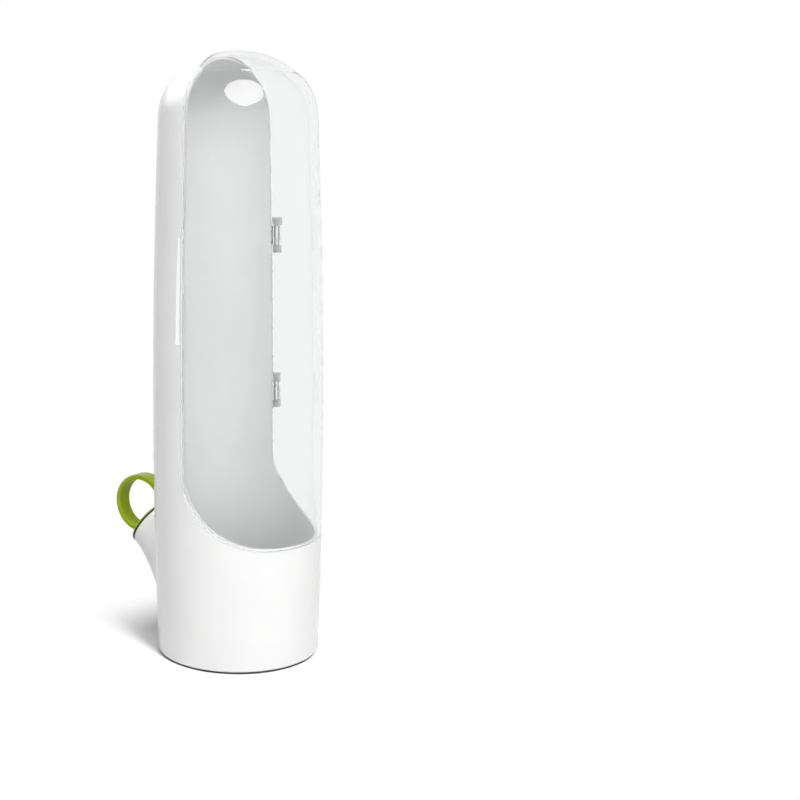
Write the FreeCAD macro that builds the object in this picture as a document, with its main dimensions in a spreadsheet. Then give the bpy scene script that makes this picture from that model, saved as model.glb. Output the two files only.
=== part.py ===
import FreeCAD, Part
import math
import os
import Sketcher
from FreeCAD import Placement, Rotation, Vector

# Herb keeper: a tall domed capsule whose back half, base and filler spout are one white moulding,
# with a clear swinging window in front and a soft plug in the spout.
# Frame: millimetres, +Z up, origin on the tube's axis at the floor. The window faces -Y, the
# spout leans out to +Y, the window's hinge is on the +X side and its free edge on the -X side.

os.makedirs("parts", exist_ok=True)
doc = FreeCAD.newDocument("herb_keeper")

# Driving sizes

SIZES = [
    ("total_height", 244.8, "floor to the crown of the dome"),
    ("belly_radius", 35.0, "outer radius where the tube is widest"),
    ("belly_height", 85.0, "height of the widest point"),
    ("side_curve_radius", 2870.0, "radius of the barrel curve up the side"),
    ("shoulder_height", 219.0, "height where the side turns into the dome"),
    ("shoulder_radius", 22.0, "tighter curve at the dome's shoulder"),
    ("shell_wall", 2.8, "white wall"),
    ("window_wall", 1.6, "clear wall"),
    ("seat_gap", 0.3, "gap round the window's edge and under it"),
    ("lip_width", 0.8, "how far the seat lip shows past the step"),
    ("parting_back", 4.2, "parting plane, behind the tube's axis"),
    ("sweep_top", 77.6, "height where the parting line starts to sweep forward"),
    ("sweep_bottom", 49.6, "lowest height of the parting line, at the front"),
    ("sweep_corner", 12.0, "radius of the sweep's first arc"),
    ("sweep_front", 32.0, "where the sweep levels out, ahead of the axis"),
    ("tool_reach", 60.0, "reach of cutting shapes past the body"),
    ("cut_over", 1.0, "how far a cutting shape runs past an open end"),
    ("foot_gap", 0.9, "height of the body's bottom edge above the floor"),
    ("edge_round", 0.6, "rounding of open edges"),
    ("spout_tilt", 35.9, "angle of the spout's mouth axis above level, degrees"),
    ("mouth_back", 43.9, "spout rim's centre, behind the axis"),
    ("mouth_height", 48.1, "spout rim's centre, above the floor"),
    ("mouth_radius", 11.6, "outer radius of the spout's rim"),
    ("mouth_bore", 9.6, "radius of the plug's seat"),
    ("mouth_depth", 9.5, "length of the plug's seat"),
    ("neck_tilt", 33.0, "tilt of the spout's neck section, below its rim, degrees"),
    ("neck_back", 38.2, "the neck section's centre, behind the axis"),
    ("neck_height", 43.0, "height of the neck section's centre"),
    ("neck_tall", 12.8, "half height of the neck section"),
    ("neck_wide", 12.0, "half width of the neck section"),
    ("waist_tilt", 26.0, "tilt of the spout's waist section, just outside the tube, degrees"),
    ("waist_back", 32.6, "the waist section's centre, behind the axis"),
    ("waist_height", 36.2, "height of the waist section's centre"),
    ("waist_tall", 15.3, "half height of the waist section"),
    ("waist_wide", 13.4, "half width of the waist section"),
    ("root_tilt", 12.0, "tilt of the spout's flared root section, inside the tube, degrees"),
    ("root_back", 27.0, "the root section's centre, behind the axis"),
    ("root_height", 27.3, "height of the root section's centre"),
    ("root_tall", 19.3, "half height of the root section"),
    ("root_wide", 18.2, "half width of the root section"),
    ("spout_wall", 2.3, "wall of the spout"),
    ("way_shift", 3.0, "how far the way in from the spout runs on inside the tube"),
    ("seat_step", 0.6, "ledge at the inner end of the plug's seat"),
    ("spout_blend", 1.0, "radius that closes the spout's flare on the tube"),
    ("scoop_height", 151.9, "height of the finger scoop's middle"),
    ("scoop_long", 41.4, "length of the finger scoop"),
    ("scoop_radius", 3.4, "radius of the groove that makes the finger scoop"),
    ("scoop_out", 1.9, "how far the groove's axis is outside the wall"),
    ("hinge_out", 37.4, "distance of the hinge axis from the tube's axis plane"),
    ("hinge_low", 105.0, "height of the lower hinge's middle"),
    ("hinge_high", 172.0, "height of the upper hinge's middle"),
    ("knuckle_radius", 2.4, "outer radius of knuckles and lugs"),
    ("knuckle_long", 8.0, "length of the window's knuckle"),
    ("lug_long", 3.2, "length of each lug on the body"),
    ("hinge_gap", 0.3, "gap between a knuckle and a lug"),
    ("pin_radius", 1.0, "radius of a hinge pin"),
    ("pin_play", 0.05, "radial clearance of the knuckle on its pin"),
    ("cap_radius", 32.1, "outer radius of the base cap"),
    ("cap_play", 0.1, "gap round the base cap"),
    ("cap_top", 9.0, "height of the base cap's rim"),
    ("cap_plate", 2.4, "thickness of the base cap's plate"),
    ("cap_rim_wall", 3.2, "thickness of the base cap's rim"),
    ("seal_height", 6.2, "height of the seal"),
    ("seal_radius", 0.62, "radius of the seal's section"),
    ("seal_groove", 1.24, "depth of the seal's groove"),
    ("seal_room", 0.3, "room in the groove, above the seal and below it"),
    ("foot_outer", 33.0, "outer radius of the non-slip pad"),
    ("foot_tongue_out", 28.4, "outer radius of the pad's tongue"),
    ("foot_tongue_in", 26.6, "inner radius of the pad's tongue"),
    ("foot_tongue_tall", 1.3, "height of the pad's tongue"),
    ("flange_radius", 11.7, "outer radius of the plug's flange"),
    ("flange_thick", 1.1, "thickness of the plug's flange"),
    ("stem_radius", 8.9, "radius of the plug's stem"),
    ("stem_long", 8.6, "length of the plug's stem"),
    ("stem_hollow", 6.8, "radius of the hollow under the stem"),
    ("stem_floor", 2.2, "thickness left over the stem's hollow"),
    ("rib_radius", 9.55, "radius of the plug's sealing ribs"),
    ("rib_start", 2.2, "start of the first rib, below the spout's rim"),
    ("rib_pitch", 3.8, "distance from one rib's start to the next"),
    ("rib_long", 0.8, "length of a rib"),
    ("ring_radius", 12.6, "outer radius of the finger ring"),
    ("ring_wall", 2.1, "wall of the finger ring"),
    ("ring_wide", 7.0, "width of the finger ring's band"),
    ("ring_round", 0.5, "rounding of the finger ring's and the flange's edges"),
    ("ring_rise", 9.3, "height of the ring's centre above the spout's rim"),
    ("ring_shift", 3.0, "how far the ring's centre is above the mouth's axis"),
]

sheet = doc.addObject("Spreadsheet::Sheet", "Sizes")
for row, (alias, value, meaning) in enumerate(SIZES, 1):
    sheet.set(f"A{row}", meaning)
    sheet.set(f"B{row}", str(value))
    sheet.setAlias(f"B{row}", alias)
doc.recompute()


def size(alias):
    """A driving size, read from the sheet."""
    return float(sheet.get(alias))


def value(expression):
    """The number that a sum of sheet sizes stands for, and 0 where there is none."""
    total = 0.0
    sign = 1.0
    for word in (expression or "").split():
        if word in "+-":
            sign = float(word + "1")
        elif word.startswith("Sizes."):
            total += sign * size(word.removeprefix("Sizes."))
        else:
            total += sign * float(word)
    return total


def bind(obj, **links):
    """Binds properties of an object to expressions on the sheet's cells."""
    for prop, expression in links.items():
        obj.setExpression(prop, expression)


# Places and directions

NEAR = 0.05  # how close counts as touching
FRONT_VIEW = Rotation(Vector(1, 0, 0), 90)
SIDE_VIEW = Rotation(Vector(1, 1, 1), 120)
SPOUT_TILT = Rotation(Vector(1, 0, 0), size("spout_tilt"))
SECTION = Rotation(Vector(1, 1, 1), 240)
SPOUT_AXIS = SPOUT_TILT.multVec(Vector(0, 1, 0))
RIM_CENTRE = Vector(0, size("mouth_back"), size("mouth_height"))
HINGE_AXIS = Vector(size("hinge_out"), size("parting_back"), 0)


def radius_at(height):
    """The tube's outer radius at a height on its barrel curve."""
    curve = size("side_curve_radius")
    rise = height - size("belly_height")
    return size("belly_radius") - curve + math.sqrt(curve**2 - rise**2)


# Sketch helpers: every sketch is closed and held by named sizes from the sheet


def dimension(sketch, name, expression, *constraint):
    """Adds a named sketch dimension and binds it to the sheet."""
    index = sketch.addConstraint(Sketcher.Constraint(*constraint))
    sketch.renameConstraint(index, name)
    sketch.setExpression(f"Constraints.{name}", expression)


def arc(centre, radius, start, end):
    """A counter-clockwise arc in a sketch, its angles in radians."""
    return Part.ArcOfCircle(Part.Circle(Vector(*centre, 0), Vector(0, 0, 1), radius), start, end)


def line(start, end):
    """A straight sketch line."""
    return Part.LineSegment(Vector(*start, 0), Vector(*end, 0))


def closed_polygon(sketch, points):
    """Draws a closed outline of straight lines and joins its corners."""
    count = len(points)
    for index, point in enumerate(points):
        sketch.addGeometry(line(point, points[(index + 1) % count]))
    for index in range(count):
        sketch.addConstraint(Sketcher.Constraint("Coincident", index, 2, (index + 1) % count, 1))


def hold_corners(sketch, corners):
    """Ties each line's start to its two sheet expressions, one across and one up."""
    for index, (name, across, up) in enumerate(corners):
        place = sketch.getPoint(index, 1)
        if across is None:
            sketch.addConstraint(Sketcher.Constraint("PointOnObject", index, 1, -2))
        else:
            dimension(sketch, name + "_across", across, "DistanceX", -1, 1, index, 1, place.x)
        if up is None:
            sketch.addConstraint(Sketcher.Constraint("PointOnObject", index, 1, -1))
        else:
            dimension(sketch, name + "_up", up, "DistanceY", -1, 1, index, 1, place.y)


# The capsule: barrel side, tight shoulder and flatter crown, as one revolved half section


def capsule(name, depth, low):
    """The tube and dome as a full solid, set in from the outer face by depth, cut off at low.

    depth and low are sheet expressions.
    """
    sketch = doc.addObject("Sketcher::SketchObject", name + "_section")
    sketch.Placement = Placement(Vector(), FRONT_VIEW)
    inset = value(depth)
    floor = value(low)
    curve = size("side_curve_radius")
    side_x = size("belly_radius") - curve
    side_z = size("belly_height")
    turn = size("shoulder_radius")
    turn_z = size("shoulder_height")
    turn_x = side_x + math.sqrt((curve - turn) ** 2 - (turn_z - side_z) ** 2)
    drop = turn_z - size("total_height")
    crown = (turn**2 - turn_x**2 - drop**2) / (2 * (drop + turn))
    crown_z = size("total_height") - crown
    lean = math.atan2(turn_z - side_z, turn_x - side_x)
    shoulder_end = math.atan2(turn_z - crown_z, turn_x)
    start = math.asin((floor - side_z) / (curve - inset))
    rim = side_x + (curve - inset) * math.cos(start)
    top = size("total_height") - inset
    sketch.addGeometry(arc((side_x, side_z), curve - inset, start, lean))
    sketch.addGeometry(arc((turn_x, turn_z), turn - inset, lean, shoulder_end))
    sketch.addGeometry(arc((0, crown_z), crown - inset, shoulder_end, math.pi / 2))
    sketch.addGeometry(line((0, top), (0, floor)))
    sketch.addGeometry(line((0, floor), (rim, floor)))
    for ties in [
        ("Tangent", 0, 2, 1, 1),
        ("Tangent", 1, 2, 2, 1),
        ("Coincident", 2, 2, 3, 1),
        ("Coincident", 3, 2, 4, 1),
        ("Coincident", 4, 2, 0, 1),
        ("PointOnObject", 2, 3, -2),
        ("PointOnObject", 3, 1, -2),
        ("PointOnObject", 3, 2, -2),
        ("Horizontal", 4),
    ]:
        sketch.addConstraint(Sketcher.Constraint(*ties))
    less = f" - ({depth})" if depth else ""
    dimension(
        sketch, "side_centre", "Sizes.side_curve_radius - Sizes.belly_radius",
        "DistanceX", 0, 3, -1, 1, -side_x,
    )
    dimension(sketch, "side_level", "Sizes.belly_height", "DistanceY", -1, 1, 0, 3, side_z)
    dimension(sketch, "side", "Sizes.side_curve_radius" + less, "Radius", 0, curve - inset)
    dimension(sketch, "turn_level", "Sizes.shoulder_height", "DistanceY", -1, 1, 1, 3, turn_z)
    dimension(sketch, "turn", "Sizes.shoulder_radius" + less, "Radius", 1, turn - inset)
    dimension(sketch, "top", "Sizes.total_height" + less, "DistanceY", -1, 1, 2, 2, top)
    dimension(sketch, "floor", low, "DistanceY", -1, 1, 4, 1, floor)
    solid = doc.addObject("Part::Revolution", name)
    solid.Source = sketch
    solid.Axis = Vector(0, 0, 1)
    solid.Base = Vector()
    solid.Angle = 360
    solid.Solid = True
    return solid


# The parting surface between the white body and the clear window, drawn in side view: straight
# down behind the axis, then two tangent arcs that sweep it forward and level it out


def window_side(name, inset):
    """Everything on the window's side of the parting surface, inset from the body's step.

    inset is a sheet expression, or None for the step itself.
    """
    sketch = doc.addObject("Sketcher::SketchObject", name + "_outline")
    sketch.Placement = Placement(Vector(), SIDE_VIEW)
    step = value(inset)
    back = size("parting_back") - step
    corner = size("sweep_corner")
    corner_y = size("parting_back") - corner
    corner_z = size("sweep_top")
    along = size("parting_back") + size("sweep_front")
    down = size("sweep_top") - size("sweep_bottom")
    sweep = (along**2 - 2 * along * corner + down**2) / (2 * (down - corner))
    sweep_y = -size("sweep_front")
    sweep_z = size("sweep_bottom") + sweep
    join = math.atan2(corner_z - sweep_z, corner_y - sweep_y)
    reach = size("tool_reach")
    top = size("total_height") + reach
    floor = size("sweep_bottom") + step
    sketch.addGeometry(arc((corner_y, corner_z), corner - step, join, 0))
    sketch.addGeometry(arc((sweep_y, sweep_z), sweep - step, -math.pi / 2, join))
    sketch.addGeometry(line((back, corner_z), (back, top)))
    sketch.addGeometry(line((back, top), (-reach, top)))
    sketch.addGeometry(line((-reach, top), (-reach, floor)))
    sketch.addGeometry(line((-reach, floor), (sweep_y, floor)))
    for ties in [
        ("Tangent", 1, 2, 0, 1),
        ("Tangent", 0, 2, 2, 1),
        ("Coincident", 2, 2, 3, 1),
        ("Coincident", 3, 2, 4, 1),
        ("Coincident", 4, 2, 5, 1),
        ("Tangent", 5, 2, 1, 1),
        ("Vertical", 2),
        ("Horizontal", 3),
        ("Vertical", 4),
        ("Horizontal", 5),
    ]:
        sketch.addConstraint(Sketcher.Constraint(*ties))
    less = f" - {inset}" if inset else ""
    more = f" + {inset}" if inset else ""
    dimension(sketch, "corner", "Sizes.sweep_corner" + less, "Radius", 0, corner - step)
    dimension(sketch, "corner_level", "Sizes.sweep_top", "DistanceY", -1, 1, 0, 3, corner_z)
    dimension(sketch, "back", "Sizes.parting_back" + less, "DistanceX", -1, 1, 2, 2, back)
    dimension(sketch, "front", "Sizes.sweep_front", "DistanceX", 1, 3, -1, 1, -sweep_y)
    dimension(sketch, "low", "Sizes.sweep_bottom" + more, "DistanceY", -1, 1, 5, 2, floor)
    dimension(sketch, "reach", "Sizes.tool_reach", "DistanceX", 4, 1, -1, 1, reach)
    dimension(
        sketch, "over", "Sizes.total_height + Sizes.tool_reach", "DistanceY", -1, 1, 3, 1, top,
    )
    prism = doc.addObject("Part::Extrusion", name)
    prism.Base = sketch
    prism.DirMode = "Normal"
    prism.Solid = True
    prism.Symmetric = True
    bind(prism, LengthFwd="2 * Sizes.tool_reach")
    return prism


def cut(name, base, tool):
    """base without tool."""
    result = doc.addObject("Part::Cut", name)
    result.Base = base
    result.Tool = tool
    return result


def fuse(name, shapes):
    """Several touching solids as one."""
    result = doc.addObject("Part::MultiFuse", name)
    result.Shapes = shapes
    return result


def common(name, shapes):
    """What several solids share."""
    result = doc.addObject("Part::MultiCommon", name)
    result.Shapes = shapes
    return result


def cylinder(name, radius, length, base, rotation=Rotation()):
    """A cylinder whose radius and length are sheet expressions."""
    result = doc.addObject("Part::Cylinder", name)
    bind(result, Radius=radius, Height=length)
    result.Placement = Placement(base, rotation)
    return result


# Hinge parts: lugs on the body at each end of the window's knuckle, on one upright axis

KNUCKLE_HALF = size("knuckle_long") / 2
LUG_START = KNUCKLE_HALF + size("hinge_gap")
HINGE_LEVELS = {"lower": size("hinge_low"), "upper": size("hinge_high")}


def leaf(name, level, length, side):
    """A round boss on the hinge axis with a flat web to the wall.

    side is 1 where the web lies behind the parting plane and -1 where it lies ahead of it.
    """
    boss = cylinder(name + "_boss", "Sizes.knuckle_radius", length, HINGE_AXIS + Vector(0, 0, level))
    web = doc.addObject("Part::Box", name + "_web")
    bind(web, Width="Sizes.knuckle_radius - Sizes.seat_gap", Height=length)
    web.Length = size("hinge_out") - radius_at(level) + size("shell_wall")
    depth = size("seat_gap") if side > 0 else -size("knuckle_radius")
    start = HINGE_AXIS + Vector(-web.Length.Value, depth, level)
    web.Placement = Placement(start, Rotation())
    return [boss, web]


def relief(name, level, length):
    """Room in a wall for the other part's boss to turn."""
    start = HINGE_AXIS + Vector(0, 0, level - size("hinge_gap"))
    return cylinder(name, "Sizes.knuckle_radius + Sizes.hinge_gap", length, start)


lugs = []
knuckles = []
knuckle_reliefs = []
lug_reliefs = []
pin_holes = []
pin_bores = []
for place, level in HINGE_LEVELS.items():
    knuckle_low = level - KNUCKLE_HALF
    lug_levels = {"under": level - LUG_START - size("lug_long"), "over": level + LUG_START}
    for end, lug_level in lug_levels.items():
        lugs += leaf(f"{place}_lug_{end}", lug_level, "Sizes.lug_long", 1)
        lug_reliefs.append(
            relief(f"{place}_{end}_relief", lug_level, "Sizes.lug_long + 2 * Sizes.hinge_gap")
        )
    knuckles += leaf(f"{place}_knuckle", knuckle_low, "Sizes.knuckle_long", -1)
    knuckle_reliefs.append(
        relief(f"{place}_knuckle_relief", knuckle_low, "Sizes.knuckle_long + 2 * Sizes.hinge_gap")
    )
    pin_low = HINGE_AXIS + Vector(0, 0, lug_levels["under"])
    hole_low = pin_low - Vector(0, 0, size("cut_over"))
    pin_length = "Sizes.knuckle_long + 2 * (Sizes.hinge_gap + Sizes.lug_long)"
    hole_length = pin_length + " + 2 * Sizes.cut_over"
    bore_radius = "Sizes.pin_radius + Sizes.pin_play"
    pin_holes.append(cylinder(f"{place}_pin_hole", "Sizes.pin_radius", hole_length, hole_low))
    pin_bores.append(cylinder(f"{place}_pin_bore", bore_radius, hole_length, hole_low))
    pin_blank = cylinder(f"{place}_pin_blank", "Sizes.pin_radius", pin_length, pin_low)
    doc.recompute()
    pin = doc.addObject("Part::Chamfer", f"{place}_hinge_pin")
    pin.Base = pin_blank
    rim_cut = size("pin_radius") / 4
    pin.Edges = [
        (number, rim_cut, rim_cut)
        for number, edge in enumerate(pin_blank.Shape.Edges, 1)
        if edge.Closed
    ]
    pin.Label = f"{place}_hinge_pin"


# The white body

outer_form = capsule("outer_form", "", "Sizes.foot_gap")
step_side = window_side("step_side", None)
back_half = cut("back_half", outer_form, step_side)


def section(name, centre, rotation, tall, wide):
    """An elliptical section of the spout, its long axis upright; half sizes as expressions."""
    result = doc.addObject("Part::Ellipse", name)
    bind(result, MajorRadius=tall, MinorRadius=wide)
    result.Placement = Placement(centre, rotation)
    return result


def loft(name, sections):
    """A smooth solid through several sections."""
    result = doc.addObject("Part::Loft", name)
    result.Sections = sections
    result.Solid = True
    return result


def spout_section(name, level, inset="0", shift=Vector()):
    """One of the spout's named sections, smaller all round by the inset expression."""
    centre = Vector(0, size(level + "_back"), size(level + "_height"))
    tilt = Rotation(Vector(1, 0, 0), size(level + "_tilt")).multiply(SECTION)
    tall, wide = (f"Sizes.{level}_{side} - {inset}" for side in ("tall", "wide"))
    return section(name, centre + shift, tilt, tall, wide)


# The spout flares smoothly from its round rim into the tube
MOUTH_TURN = SPOUT_TILT.multiply(SECTION)
spout_form = loft(
    "spout_form",
    [
        spout_section("root_outside", "root"),
        spout_section("waist_outside", "waist"),
        spout_section("neck_outside", "neck"),
        section("rim_outside", RIM_CENTRE, MOUTH_TURN, "Sizes.mouth_radius", "Sizes.mouth_radius"),
    ],
)
joined = fuse("body_and_spout", [back_half, spout_form])
doc.recompute()


def on_joint(edge):
    """True for an edge where the spout meets the tube's outer face."""
    return all(
        abs(math.hypot(point.x, point.y) - radius_at(point.z)) < NEAR
        and point.y > size("mouth_radius")
        and point.z < size("mouth_height") + size("mouth_radius")
        and point.z > size("root_height") - size("root_tall")
        for point in edge.discretize(9)
    )


def low_rim(edge):
    """True for the body's bottom outer edge."""
    return edge.Closed and edge.BoundBox.ZMax < size("foot_gap") + NEAR


def mouth_rim(edge):
    """True for the outer edge of the spout's rim."""
    reach = size("mouth_radius")
    return all(abs(point.distanceToPoint(RIM_CENTRE) - reach) < NEAR for point in edge.discretize(9))


blend_edges = []
for number, edge in enumerate(joined.Shape.Edges, 1):
    if on_joint(edge):
        blend_edges.append((number, size("spout_blend"), size("spout_blend")))
    elif low_rim(edge) or mouth_rim(edge):
        blend_edges.append((number, size("edge_round"), size("edge_round")))
blended = doc.addObject("Part::Fillet", "blended")
blended.Base = joined
blended.Edges = blend_edges

lip_form = capsule("lip_form", "Sizes.window_wall + Sizes.seat_gap", "Sizes.foot_gap")
lip_side = window_side("lip_side", "Sizes.lip_width")
lip = cut("seat_lip", lip_form, lip_side)
chamber = capsule("chamber", "Sizes.shell_wall", "Sizes.foot_gap")
body_blank = fuse("body_blank", [blended, lip, *lugs])

# The spout's bore: a straight seat for the plug, then a widening way into the base
SEAT_END = RIM_CENTRE - SPOUT_AXIS * size("mouth_depth")
mouth_seat = cylinder(
    "mouth_seat", "Sizes.mouth_bore", "Sizes.mouth_depth + Sizes.cut_over", SEAT_END,
    Rotation(Vector(0, 0, 1), SPOUT_AXIS),
)
spout_way = loft(
    "spout_way",
    [
        spout_section("root_inside", "root", "Sizes.spout_wall", Vector(0, -size("way_shift"), 0)),
        spout_section("waist_inside", "waist", "Sizes.spout_wall"),
        section(
            "seat_inside", SEAT_END + SPOUT_AXIS * size("cut_over"), MOUTH_TURN,
            "Sizes.mouth_bore - Sizes.seat_step", "Sizes.mouth_bore - Sizes.seat_step",
        ),
    ],
)

# The finger scoop beside the window's free edge
scoop = cylinder(
    "finger_scoop", "Sizes.scoop_radius", "Sizes.scoop_long",
    Vector(
        -radius_at(size("scoop_height")) - size("scoop_out"),
        size("parting_back"),
        size("scoop_height") - size("scoop_long") / 2,
    ),
)

# The bottom recess that takes the base cap
cap_recess = cylinder(
    "cap_recess", "Sizes.cap_radius + Sizes.cap_play", "Sizes.cap_top", Vector()
)
hollows = fuse(
    "body_hollows",
    [chamber, mouth_seat, spout_way, cap_recess, scoop, *knuckle_reliefs, *pin_holes],
)
body_shell = cut("body_shell", body_blank, hollows)
body_shell.Label = "body_shell"

# The clear window

window_form = capsule("window_form", "", "Sizes.foot_gap")
window_inside = capsule("window_inside", "Sizes.window_wall", "Sizes.foot_gap")
window_edge = window_side("window_edge", "Sizes.seat_gap")
window_panel = common("window_panel", [window_form, window_edge])
window_blank = fuse("window_blank", [window_panel, *knuckles])
window_hollows = fuse("window_hollows", [window_inside, *lug_reliefs, *pin_bores])
front_window = cut("front_window", window_blank, window_hollows)
front_window.Label = "front_window"


# Turned pieces, each a body with one revolved half section


def turned_body(label, corners, placement=Placement()):
    """A revolved body: corners are (name, across, up) sheet expressions, in order."""
    body = doc.addObject("PartDesign::Body", label)
    body.Label = label
    sketch = body.newObject("Sketcher::SketchObject", label + "_section")
    planes = {feature.Role: feature for feature in body.Origin.OriginFeatures}
    sketch.AttachmentSupport = (planes["XZ_Plane"], [""])
    sketch.MapMode = "FlatFace"
    closed_polygon(sketch, [(value(across), value(up)) for name, across, up in corners])
    hold_corners(sketch, corners)
    turn = body.newObject("PartDesign::Revolution", label + "_turned")
    turn.Profile = sketch
    turn.ReferenceAxis = (sketch, ["V_Axis"])
    turn.Angle = 360
    body.Placement = placement
    return body


SEAL_LOW = "Sizes.seal_height - Sizes.seal_radius - Sizes.seal_room"
SEAL_HIGH = "Sizes.seal_height + Sizes.seal_radius + Sizes.seal_room"
GROOVE_BOTTOM = "Sizes.cap_radius - Sizes.seal_groove + Sizes.cap_play"
base_cap = turned_body(
    "base_cap",
    [
        ("middle", None, "Sizes.foot_gap"),
        ("tongue_in", "Sizes.foot_tongue_in", "Sizes.foot_gap"),
        ("groove_in", "Sizes.foot_tongue_in", "Sizes.foot_gap + Sizes.foot_tongue_tall"),
        ("groove_out", "Sizes.foot_tongue_out", "Sizes.foot_gap + Sizes.foot_tongue_tall"),
        ("tongue_out", "Sizes.foot_tongue_out", "Sizes.foot_gap"),
        ("edge", "Sizes.cap_radius", "Sizes.foot_gap"),
        ("seal_low", "Sizes.cap_radius", SEAL_LOW),
        ("seal_low_in", GROOVE_BOTTOM, SEAL_LOW),
        ("seal_high_in", GROOVE_BOTTOM, SEAL_HIGH),
        ("seal_high", "Sizes.cap_radius", SEAL_HIGH),
        ("rim_out", "Sizes.cap_radius", "Sizes.cap_top"),
        ("rim_in", "Sizes.cap_radius - Sizes.cap_rim_wall", "Sizes.cap_top"),
        ("plate_edge", "Sizes.cap_radius - Sizes.cap_rim_wall", "Sizes.foot_gap + Sizes.cap_plate"),
        ("plate_top", None, "Sizes.foot_gap + Sizes.cap_plate"),
    ],
)

base_seal = doc.addObject("Part::Torus", "base_seal")
base_seal.Label = "base_seal"
bind(
    base_seal,
    Radius1="Sizes.cap_radius + Sizes.cap_play - Sizes.seal_radius",
    Radius2="Sizes.seal_radius",
)
base_seal.Placement = Placement(Vector(0, 0, size("seal_height")), Rotation())

foot_pad = turned_body(
    "foot_pad",
    [
        ("floor_in", None, None),
        ("floor_out", "Sizes.foot_outer", None),
        ("edge_top", "Sizes.foot_outer", "Sizes.foot_gap"),
        ("tongue_out", "Sizes.foot_tongue_out", "Sizes.foot_gap"),
        ("tongue_out_top", "Sizes.foot_tongue_out", "Sizes.foot_gap + Sizes.foot_tongue_tall"),
        ("tongue_in_top", "Sizes.foot_tongue_in", "Sizes.foot_gap + Sizes.foot_tongue_tall"),
        ("tongue_in", "Sizes.foot_tongue_in", "Sizes.foot_gap"),
        ("middle", None, "Sizes.foot_gap"),
    ],
)

# The plug, drawn upright about its own axis and then tilted into the spout

RIBS = 2
plug_corners = [
    ("top", None, "Sizes.flange_thick"),
    ("flange_top", "Sizes.flange_radius", "Sizes.flange_thick"),
    ("flange_low", "Sizes.flange_radius", None),
    ("stem_top", "Sizes.stem_radius", None),
]
for rib in range(RIBS):
    rib_top = "0 - Sizes.rib_start" + " - Sizes.rib_pitch" * rib
    rib_low = rib_top + " - Sizes.rib_long"
    plug_corners += [
        (f"rib{rib}_a", "Sizes.stem_radius", rib_top),
        (f"rib{rib}_b", "Sizes.rib_radius", rib_top),
        (f"rib{rib}_c", "Sizes.rib_radius", rib_low),
        (f"rib{rib}_d", "Sizes.stem_radius", rib_low),
    ]
plug_corners += [
    ("stem_end", "Sizes.stem_radius", "0 - Sizes.stem_long"),
    ("hollow_end", "Sizes.stem_hollow", "0 - Sizes.stem_long"),
    ("hollow_top", "Sizes.stem_hollow", "0 - Sizes.stem_floor"),
    ("hollow_middle", None, "0 - Sizes.stem_floor"),
]
filler_plug = turned_body(
    "filler_plug",
    plug_corners,
    Placement(RIM_CENTRE, Rotation(Vector(0, 0, 1), SPOUT_AXIS)),
)
doc.recompute()


def add_ring(body):
    """The finger ring: a round band open at its foot, where it grows out of the flange."""
    planes = {feature.Role: feature for feature in body.Origin.OriginFeatures}
    sketch = body.newObject("Sketcher::SketchObject", "finger_ring_outline")
    sketch.AttachmentSupport = (planes["YZ_Plane"], [""])
    sketch.MapMode = "FlatFace"
    centre = (-size("ring_shift"), size("ring_rise"))
    foot = size("flange_thick") / 2
    outer = size("ring_radius")
    inner = outer - size("ring_wall")
    drop = centre[1] - foot
    outer_half = math.acos(drop / outer)
    inner_half = math.acos(drop / inner)
    down = -math.pi / 2
    sketch.addGeometry(arc(centre, outer, down + outer_half, down - outer_half + 2 * math.pi))
    sketch.addGeometry(arc(centre, inner, down + inner_half, down - inner_half + 2 * math.pi))
    for side, name in ((1, 1), (-1, 2)):
        outside = (centre[0] + side * outer * math.sin(outer_half), foot)
        inside = (centre[0] + side * inner * math.sin(inner_half), foot)
        number = sketch.addGeometry(line(outside, inside))
        sketch.addConstraint(Sketcher.Constraint("Coincident", 0, name, number, 1))
        sketch.addConstraint(Sketcher.Constraint("Coincident", 1, name, number, 2))
        sketch.addConstraint(Sketcher.Constraint("Horizontal", number))
    sketch.addConstraint(Sketcher.Constraint("Coincident", 0, 3, 1, 3))
    dimension(sketch, "shift", "Sizes.ring_shift", "DistanceX", 0, 3, -1, 1, -centre[0])
    dimension(sketch, "rise", "Sizes.ring_rise", "DistanceY", -1, 1, 0, 3, centre[1])
    dimension(sketch, "outer", "Sizes.ring_radius", "Radius", 0, outer)
    dimension(sketch, "inner", "Sizes.ring_radius - Sizes.ring_wall", "Radius", 1, inner)
    dimension(sketch, "foot", "Sizes.flange_thick / 2", "DistanceY", -1, 1, 2, 1, foot)
    sketch.addConstraint(Sketcher.Constraint("Horizontal", 2, 1, 3, 1))
    band = body.newObject("PartDesign::Pad", "finger_ring")
    band.Profile = sketch
    band.SideType = "Symmetric"
    band.setExpression("Length", "Sizes.ring_wide")
    return band


def soften_ring(body, band):
    """Rounds the finger ring's four long edges and the flange's top edge."""
    radii = [size("ring_radius"), size("ring_radius") - size("ring_wall"), size("flange_radius")]
    long_edges = [
        f"Edge{number}"
        for number, edge in enumerate(band.Shape.Edges, 1)
        if hasattr(edge.Curve, "Radius")
        and any(abs(edge.Curve.Radius - radius) < NEAR for radius in radii)
        and edge.Curve.Center.z > size("flange_thick") - NEAR
    ]
    rounding = body.newObject("PartDesign::Fillet", "plug_rounding")
    rounding.Base = (band, long_edges)
    rounding.setExpression("Radius", "Sizes.ring_round")


finger_ring = add_ring(filler_plug)
doc.recompute()
soften_ring(filler_plug, finger_ring)
doc.recompute()

# Check every object, then write each piece to its own file

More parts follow.
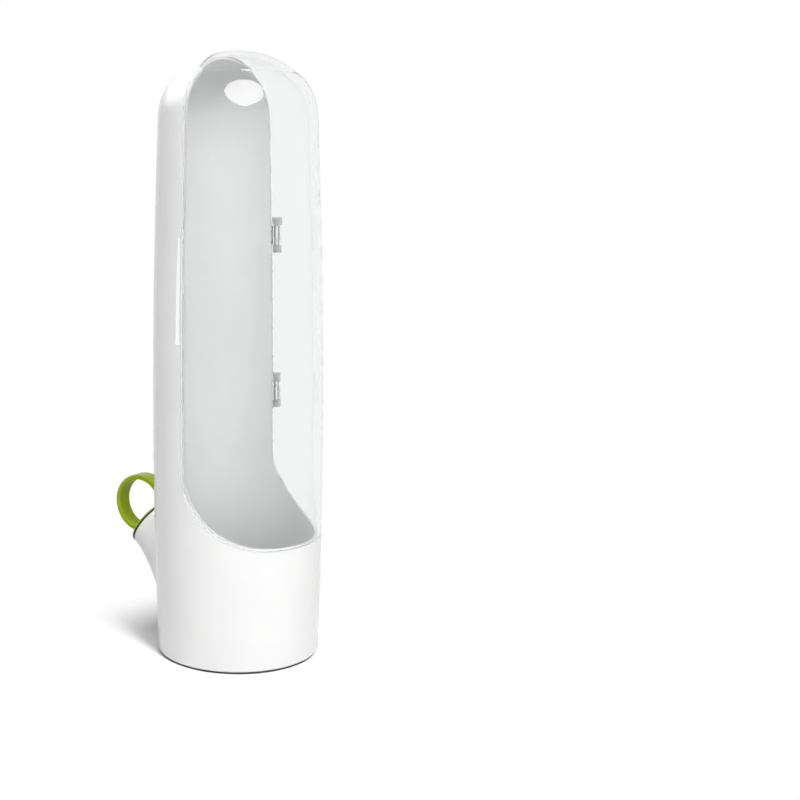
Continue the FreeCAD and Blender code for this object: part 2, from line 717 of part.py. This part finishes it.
PIECES = [
    "body_shell",
    "front_window",
    "lower_hinge_pin",
    "upper_hinge_pin",
    "filler_plug",
    "base_cap",
    "base_seal",
    "foot_pad",
]
for obj in doc.Objects:
    if "Invalid" in obj.State or "Error" in obj.State:
        raise RuntimeError(f"{obj.Name} did not build: {obj.State}")
for label in PIECES:
    piece = doc.getObjectsByLabel(label)[0]
    shape = piece.Shape
    if shape.isNull() or not shape.isValid():
        raise RuntimeError(f"{label} has no valid shape")
    shape.exportStep(f"parts/{label}.step")
    print(f"{label}: {len(shape.Solids)} solid, {shape.Volume / 1000:.2f} cm3")
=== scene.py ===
import math

import bpy
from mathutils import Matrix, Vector

# A tall domed keeper: a white moulded body with a clear swinging window in front and a green plug
# in its filler spout. Metres, +Z up, origin on the tube's axis at the floor, window towards -Y.

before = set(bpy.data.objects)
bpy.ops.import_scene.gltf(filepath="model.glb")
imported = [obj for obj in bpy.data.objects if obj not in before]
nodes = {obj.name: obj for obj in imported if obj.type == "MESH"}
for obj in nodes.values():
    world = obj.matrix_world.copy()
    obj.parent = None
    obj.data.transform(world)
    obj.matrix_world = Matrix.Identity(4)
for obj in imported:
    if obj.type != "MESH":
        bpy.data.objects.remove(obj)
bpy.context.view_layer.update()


# Node helpers

# Most of the noise lies between these two, and a relief has this many times more cells than its patches
NOISE_LOW = 0.3
NOISE_HIGH = 0.7
FINER = 12


def new_material(name):
    """A new material, its node tree and the Principled shader on its output."""
    material = bpy.data.materials.new(name)
    material.use_nodes = True
    tree = material.node_tree
    shader = tree.nodes["Principled BSDF"]
    return material, tree, shader


def combine(tree, operation, first, second):
    """A sum, product or the like of two numbers."""
    node = tree.nodes.new("ShaderNodeMath")
    node.operation = operation
    for socket, source in zip(node.inputs, (first, second)):
        if isinstance(source, float):
            socket.default_value = source
        else:
            tree.links.new(source, socket)
    return node.outputs[0]


def along(tree, vector, axis):
    """How far a vector reaches along an axis."""
    node = tree.nodes.new("ShaderNodeVectorMath")
    node.operation = "DOT_PRODUCT"
    tree.links.new(vector, node.inputs[0])
    node.inputs[1].default_value = axis
    return node.outputs["Value"]


def smooth_step(tree, source, low, high):
    """0 below low and 1 above high, with a soft change between them."""
    reach = tree.nodes.new("ShaderNodeMapRange")
    reach.interpolation_type = "SMOOTHSTEP"
    reach.inputs["From Min"].default_value = low
    reach.inputs["From Max"].default_value = high
    tree.links.new(source, reach.inputs["Value"])
    return reach.outputs["Result"]


def object_space(tree):
    """The place on the piece, which moves with the piece."""
    return tree.nodes.new("ShaderNodeTexCoord").outputs["Object"]


def noise(tree, scale):
    """Seamless noise in the object's own space, with scale cells to the metre."""
    pattern = tree.nodes.new("ShaderNodeTexNoise")
    pattern.inputs["Scale"].default_value = scale
    pattern.inputs["Detail"].default_value = 2.0
    tree.links.new(object_space(tree), pattern.inputs["Vector"])
    return pattern.outputs["Fac"]


def spread(tree, source, low, high):
    """A number that varies between low and high with the noise."""
    reach = tree.nodes.new("ShaderNodeMapRange")
    reach.inputs["From Min"].default_value = NOISE_LOW
    reach.inputs["From Max"].default_value = NOISE_HIGH
    reach.inputs["To Min"].default_value = low
    reach.inputs["To Max"].default_value = high
    tree.links.new(source, reach.inputs["Value"])
    return reach.outputs["Result"]


def tones(tree, source, first, second):
    """A colour that varies between two tones with the noise."""
    ramp = tree.nodes.new("ShaderNodeValToRGB")
    ramp.color_ramp.elements[0].position = NOISE_LOW
    ramp.color_ramp.elements[0].color = (*first, 1)
    ramp.color_ramp.elements[1].position = NOISE_HIGH
    ramp.color_ramp.elements[1].color = (*second, 1)
    tree.links.new(source, ramp.inputs["Fac"])
    return ramp.outputs["Color"]


def bump(tree, shader, source, depth):
    """A shallow relief, depth in metres."""
    relief = tree.nodes.new("ShaderNodeBump")
    relief.inputs["Strength"].default_value = 1.0
    relief.inputs["Distance"].default_value = depth
    tree.links.new(source, relief.inputs["Height"])
    tree.links.new(relief.outputs["Normal"], shader.inputs["Normal"])


# Materials


def plain(name, colours, roughness, scale, relief, **uniform):
    """Two close tones and a varying roughness in large soft patches, with a finer relief."""
    material, tree, shader = new_material(name)
    pattern = noise(tree, scale)
    tree.links.new(tones(tree, pattern, *colours), shader.inputs["Base Color"])
    tree.links.new(spread(tree, pattern, *roughness), shader.inputs["Roughness"])
    bump(tree, shader, noise(tree, scale * FINER), relief)
    for socket, amount in uniform.items():
        shader.inputs[socket.replace("_", " ")].default_value = amount
    return material


def white_plastic():
    """Satin white moulded plastic with a thin gloss of its own."""
    return plain(
        "white_plastic",
        colours=[(0.80, 0.80, 0.80), (0.83, 0.83, 0.825)],
        roughness=(0.20, 0.26),
        scale=45,
        relief=0.000004,
        IOR=1.5,
        Coat_Weight=0.15,
        Coat_Roughness=0.25,
    )


CLEAR_TONES = [(0.965, 0.972, 0.970), (0.98, 0.985, 0.982)]
CLEAR_ROUGHNESS = (0.0, 0.015)
CLEAR_BODY = (0.46, 0.53, 0.50, 1)
CLEAR_DENSITY = 18


def clear_plastic():
    """Clear moulded plastic, faintly grey where the eye meets a long stretch of it."""
    material, tree, shader = new_material("clear_plastic")
    pattern = noise(tree, scale=30)
    tree.links.new(tones(tree, pattern, *CLEAR_TONES), shader.inputs["Base Color"])
    tree.links.new(spread(tree, pattern, *CLEAR_ROUGHNESS), shader.inputs["Roughness"])
    bump(tree, shader, pattern, depth=0.0000005)
    shader.inputs["Transmission Weight"].default_value = 1.0
    shader.inputs["IOR"].default_value = 1.45
    body = tree.nodes.new("ShaderNodeVolumeAbsorption")
    body.inputs["Color"].default_value = CLEAR_BODY
    body.inputs["Density"].default_value = CLEAR_DENSITY
    tree.links.new(body.outputs["Volume"], tree.nodes["Material Output"].inputs["Volume"])
    return material


# The dark line under the plug's flange is a painted shadow, shade painted into the green where the
# flange sits on the spout's rim: where it starts, begins to fade and ends, in metres along the spout's
# axis from its rim
SPOUT_RIM = Vector((0, 0.0439, 0.0481))
SPOUT_AXIS = Vector((0, 0.810042, 0.586372))
SHADOW_LINE_START = -0.0004
SHADOW_LINE_FADE = 0.00042
SHADOW_LINE_END = 0.0006
SHADOW_LINE_COLOUR = (0.02, 0.025, 0.01, 1)


def green_silicone():
    """Green silicone, with a painted shadow: a dark line where its flange sits on the spout's rim."""
    material = plain(
        "green_silicone",
        colours=[(0.27, 0.37, 0.006), (0.31, 0.42, 0.009)],
        roughness=(0.32, 0.42),
        scale=90,
        relief=0.00002,
        IOR=1.3,
        Specular_IOR_Level=0.25,
        Subsurface_Weight=0.1,
        Subsurface_Scale=0.002,
    )
    tree = material.node_tree
    colour = tree.nodes["Principled BSDF"].inputs["Base Color"]
    green = colour.links[0].from_socket
    out = along(tree, object_space(tree), SPOUT_AXIS)
    rim = SPOUT_RIM.dot(SPOUT_AXIS)
    ring_side = smooth_step(tree, out, rim + SHADOW_LINE_FADE, rim + SHADOW_LINE_END)
    stem_side = combine(tree, "LESS_THAN", out, rim + SHADOW_LINE_START)
    # Paint the shadow line into the base colour: near-black painted shade between the flange and the
    # spout's rim, fading into the green
    shadow_line_mix = tree.nodes.new("ShaderNodeMix")
    shadow_line_mix.data_type = "RGBA"
    tree.links.new(combine(tree, "MAXIMUM", ring_side, stem_side), shadow_line_mix.inputs["Factor"])
    shadow_line_mix.inputs["A"].default_value = SHADOW_LINE_COLOUR
    tree.links.new(green, shadow_line_mix.inputs["B"])
    tree.links.new(shadow_line_mix.outputs["Result"], colour)
    return material


def seal_silicone():
    """Grey silicone for the seal inside the base."""
    return plain(
        "seal_silicone",
        colours=[(0.30, 0.30, 0.30), (0.34, 0.34, 0.34)],
        roughness=(0.4, 0.5),
        scale=90,
        relief=0.00001,
        IOR=1.42,
    )


def foot_rubber():
    """Dark matt rubber under the base."""
    return plain(
        "foot_rubber",
        colours=[(0.02, 0.02, 0.02), (0.03, 0.03, 0.03)],
        roughness=(0.6, 0.75),
        scale=120,
        relief=0.00002,
        IOR=1.5,
    )


def pin_steel():
    """Drawn steel for the hinge pins."""
    return plain(
        "pin_steel",
        colours=[(0.52, 0.52, 0.53), (0.60, 0.60, 0.61)],
        roughness=(0.22, 0.34),
        scale=300,
        relief=0.00001,
        Metallic=1.0,
    )


white = white_plastic()
steel = pin_steel()

for label, material in {
    "body_shell": white,
    "front_window": clear_plastic(),
    "lower_hinge_pin": steel,
    "upper_hinge_pin": steel,
    "filler_plug": green_silicone(),
    "base_cap": white,
    "base_seal": seal_silicone(),
    "foot_pad": foot_rubber(),
}.items():
    piece = nodes[label]
    piece.data.materials.clear()
    piece.data.materials.append(material)


# Floor and backdrop: white to the camera and in gloss and glass, with the object's shadow kept near it

FLOOR_SIZE = 12

# The floor's tones for light that bounces off it, and its colour where it's seen
FLOOR_BOUNCE = [(0.16, 0.16, 0.16), (0.17, 0.17, 0.17)]
FLOOR_SEEN = (0.5, 0.5, 0.5, 1)

# The shadow is whole up to the first distance from the axis and gone at the second
SHADOW_NEAR = 0.04
SHADOW_FAR = 0.085

# A light path before its first diffuse bounce has a diffuse depth under this
FIRST_BOUNCE = 0.5


def seen_rays(tree):
    """1 for rays from the camera, also off gloss and through clear plastic, and 0 for light."""
    path = tree.nodes.new("ShaderNodeLightPath")
    total = path.outputs["Is Camera Ray"]
    for kind in ("Is Glossy Ray", "Is Transmission Ray"):
        total = combine(tree, "MAXIMUM", total, path.outputs[kind])
    direct = combine(tree, "LESS_THAN", path.outputs["Diffuse Depth"], FIRST_BOUNCE)
    return combine(tree, "MULTIPLY", total, direct)


def floor_material():
    """Pale floor: its shadows fade out to white with the distance from the object."""
    material, tree, shader = new_material("studio_floor")
    tree.nodes.remove(shader)
    seen = seen_rays(tree)
    tint = tree.nodes.new("ShaderNodeMix")
    tint.data_type = "RGBA"
    tree.links.new(seen, tint.inputs["Factor"])
    tree.links.new(tones(tree, noise(tree, scale=3), *FLOOR_BOUNCE), tint.inputs["A"])
    tint.inputs["B"].default_value = FLOOR_SEEN
    matt = tree.nodes.new("ShaderNodeBsdfDiffuse")
    tree.links.new(tint.outputs["Result"], matt.inputs["Color"])
    reach = tree.nodes.new("ShaderNodeVectorMath")
    reach.operation = "LENGTH"
    tree.links.new(object_space(tree), reach.inputs[0])
    fade = smooth_step(tree, reach.outputs["Value"], SHADOW_NEAR, SHADOW_FAR)
    glow = tree.nodes.new("ShaderNodeEmission")
    glow.inputs["Strength"].default_value = 1.0
    choose = tree.nodes.new("ShaderNodeMixShader")
    tree.links.new(combine(tree, "MULTIPLY", seen, fade), choose.inputs["Fac"])
    tree.links.new(matt.outputs["BSDF"], choose.inputs[1])
    tree.links.new(glow.outputs["Emission"], choose.inputs[2])
    tree.links.new(choose.outputs["Shader"], tree.nodes["Material Output"].inputs["Surface"])
    return material


bpy.ops.mesh.primitive_plane_add(size=FLOOR_SIZE, location=(0, 0, 0))
floor = bpy.context.object
floor.name = "floor"
floor.data.materials.append(floor_material())


# Light: broad soft lights in the sky of the studio, which gloss and clear plastic see as plain white

WHITE = (1, 1, 1, 1)

# The even light from everywhere, and the power of the cosine by which each soft light falls off
AMBIENT = 0.19
NARROWNESS = 24.0

# Azimuth and elevation in degrees, and how white each makes a white face that is turned to it
SOFT_LIGHTS = {
    "key": (-125, 20, 0.66),
    "right": (-65, 20, 0.21),
    "left": (190, 15, 0.27),
    "back": (110, 20, 0.03),
    "rear": (33, 25, 0.28),
    "top": (125, 80, 0.58),
}


def towards(azimuth, elevation):
    """A direction; azimuth 0 is +X and 90 is +Y, in degrees."""
    turn = math.radians(azimuth)
    rise = math.radians(elevation)
    level = math.cos(rise)
    return Vector((level * math.cos(turn), level * math.sin(turn), math.sin(rise)))


def soft_light(tree, direction, azimuth, elevation, level):
    """The strength of one broad light; level is how white it makes a white face turned to it."""
    facing = along(tree, direction, towards(azimuth, elevation))
    ahead = combine(tree, "MAXIMUM", facing, 0.0)
    lobe = combine(tree, "POWER", ahead, NARROWNESS)
    # A lobe of strength 1 alone would light that face to 2 / (NARROWNESS + 2)
    return combine(tree, "MULTIPLY", lobe, level * (NARROWNESS + 2) / 2)


def studio_world():
    """The sky: the soft lights for light, and plain white for what the camera sees."""
    world = bpy.data.worlds.new("studio")
    world.use_nodes = True
    tree = world.node_tree
    direction = tree.nodes.new("ShaderNodeTexCoord").outputs["Generated"]
    strength = AMBIENT
    for azimuth, elevation, level in SOFT_LIGHTS.values():
        light = soft_light(tree, direction, azimuth, elevation, level)
        strength = combine(tree, "ADD", light, strength)
    lit = tree.nodes["Background"]
    lit.inputs["Color"].default_value = WHITE
    tree.links.new(strength, lit.inputs["Strength"])
    seen = tree.nodes.new("ShaderNodeBackground")
    seen.inputs["Color"].default_value = WHITE
    choose = tree.nodes.new("ShaderNodeMixShader")
    tree.links.new(seen_rays(tree), choose.inputs["Fac"])
    tree.links.new(lit.outputs[0], choose.inputs[1])
    tree.links.new(seen.outputs[0], choose.inputs[2])
    tree.links.new(choose.outputs[0], tree.nodes["World Output"].inputs["Surface"])
    return world


def softbox(name, azimuth, elevation, distance, aim, width, height, power):
    """An oval lamp of so many watts that looks at a point; it isn't seen through clear plastic."""
    lamp_data = bpy.data.lights.new(name, "AREA")
    lamp_data.shape = "ELLIPSE"
    lamp_data.size = width
    lamp_data.size_y = height
    lamp_data.energy = power
    lamp = bpy.data.objects.new(name, lamp_data)
    bpy.context.collection.objects.link(lamp)
    lamp.location = aim + distance * towards(azimuth, elevation)
    lamp.rotation_euler = (aim - lamp.location).to_track_quat("-Z", "Y").to_euler()
    lamp.visible_transmission = False
    return lamp


bpy.context.scene.world = studio_world()

# Two lamps only show as soft highlights: a round one on the window's dome, and one on the body's
DOME = Vector((0, 0, 0.2))
window_highlight = softbox(
    "window_highlight",
    azimuth=-136,
    elevation=44,
    distance=1.0,
    aim=DOME,
    width=0.88,
    height=0.98,
    power=26,
)
body_highlight = softbox(
    "body_highlight",
    azimuth=92,
    elevation=36,
    distance=1.0,
    aim=DOME,
    width=0.95,
    height=0.8,
    power=3.6,
)
for highlight in (window_highlight, body_highlight):
    highlight.visible_diffuse = False

# This lamp lights the floor alone, and throws the object's shadow on it
FOOT = Vector((0, 0, 0))
floor_lamp = softbox(
    "floor_lamp",
    azimuth=-118,
    elevation=26,
    distance=1.3,
    aim=FOOT,
    width=0.4,
    height=0.4,
    power=46,
)
floor_lamp.visible_glossy = False
floor_only = bpy.data.collections.new("floor_only")
floor_only.objects.link(floor)
floor_lamp.light_linking.receiver_collection = floor_only

bpy.context.scene.view_settings.view_transform = "Standard"


# Camera: the photograph's framing, worked out from the outline of the base, the tube and the dome

# The photograph's width, the focal length and the object's axis across it, in its pixels
IMAGE = 800
FOCAL = 1250
AXIS_AT = 238.2

# The eye's distance from the axis and its height in metres, and where it looks
DISTANCE = 0.508
EYE = 0.185
HEADING = math.radians(-56.7)
PITCH = math.radians(8.9)
SENSOR = 36

camera_data = bpy.data.cameras.new("camera")
camera = bpy.data.objects.new("camera", camera_data)
bpy.context.collection.objects.link(camera)
camera_data.sensor_width = SENSOR
camera_data.lens = FOCAL / IMAGE * SENSOR
camera_data.shift_x = 0.5 - AXIS_AT / IMAGE
camera.location = (DISTANCE * math.sin(HEADING), -DISTANCE * math.cos(HEADING), EYE)
camera.rotation_euler = (math.pi / 2 - PITCH, 0, HEADING)
bpy.context.scene.camera = camera
